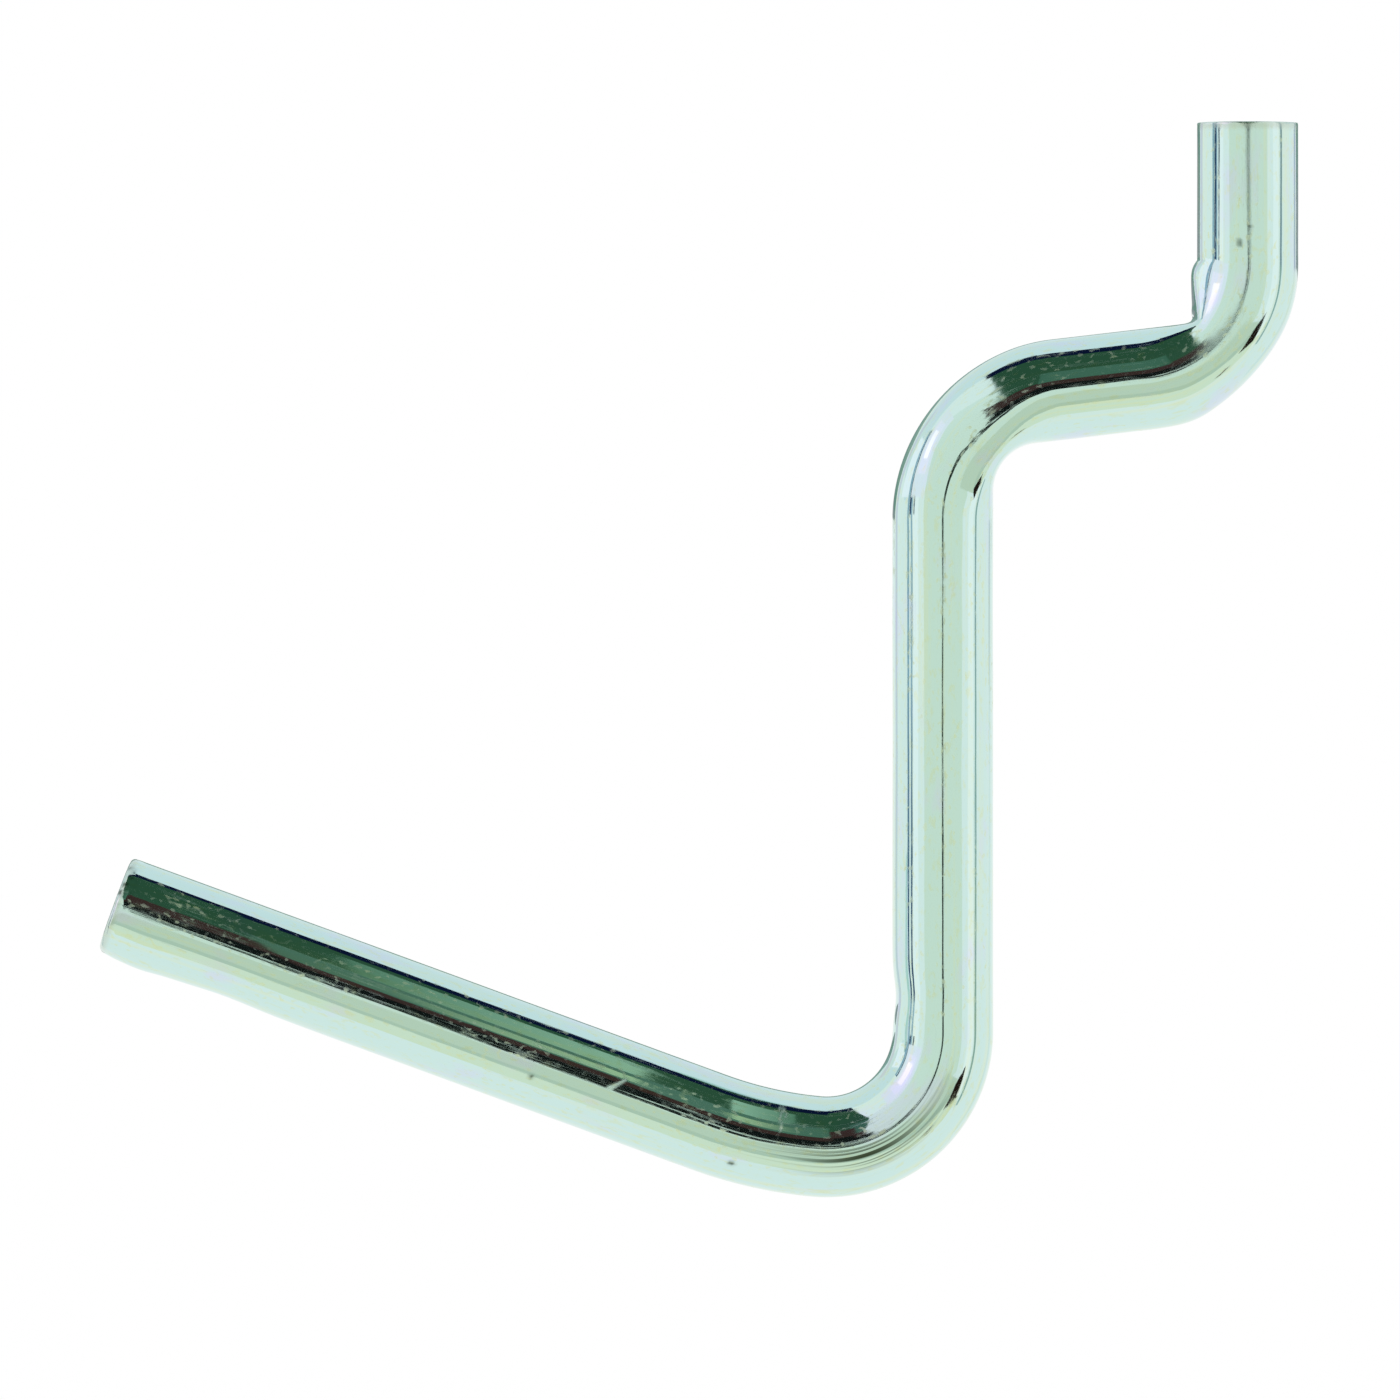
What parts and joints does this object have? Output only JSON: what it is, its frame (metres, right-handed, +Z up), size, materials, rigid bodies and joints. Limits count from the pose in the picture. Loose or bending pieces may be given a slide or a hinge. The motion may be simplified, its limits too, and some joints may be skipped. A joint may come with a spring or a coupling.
{
  "type": "pegboard hook",
  "caption": "Bent-wire hook for perforated board, with an upturned stub that locks behind the board and a straight arm that slopes upwards to hold tools.",
  "frame": {"origin": "centre of the board's hole at the board's front face, on the axis of the run through the board", "axes": "-Y out of the board along the arm, +Y behind the board, +Z up, and the wire lies in the plane X = 0"},
  "size_m": [0.0062, 0.0673, 0.0603],
  "materials": {
    "zinc": "bright zinc plate with a clear chromate film, drawn-wire grain along the length"
  },
  "bodies": {
    "root": {"wire_hook": "zinc"}
  },
  "joints": []
}
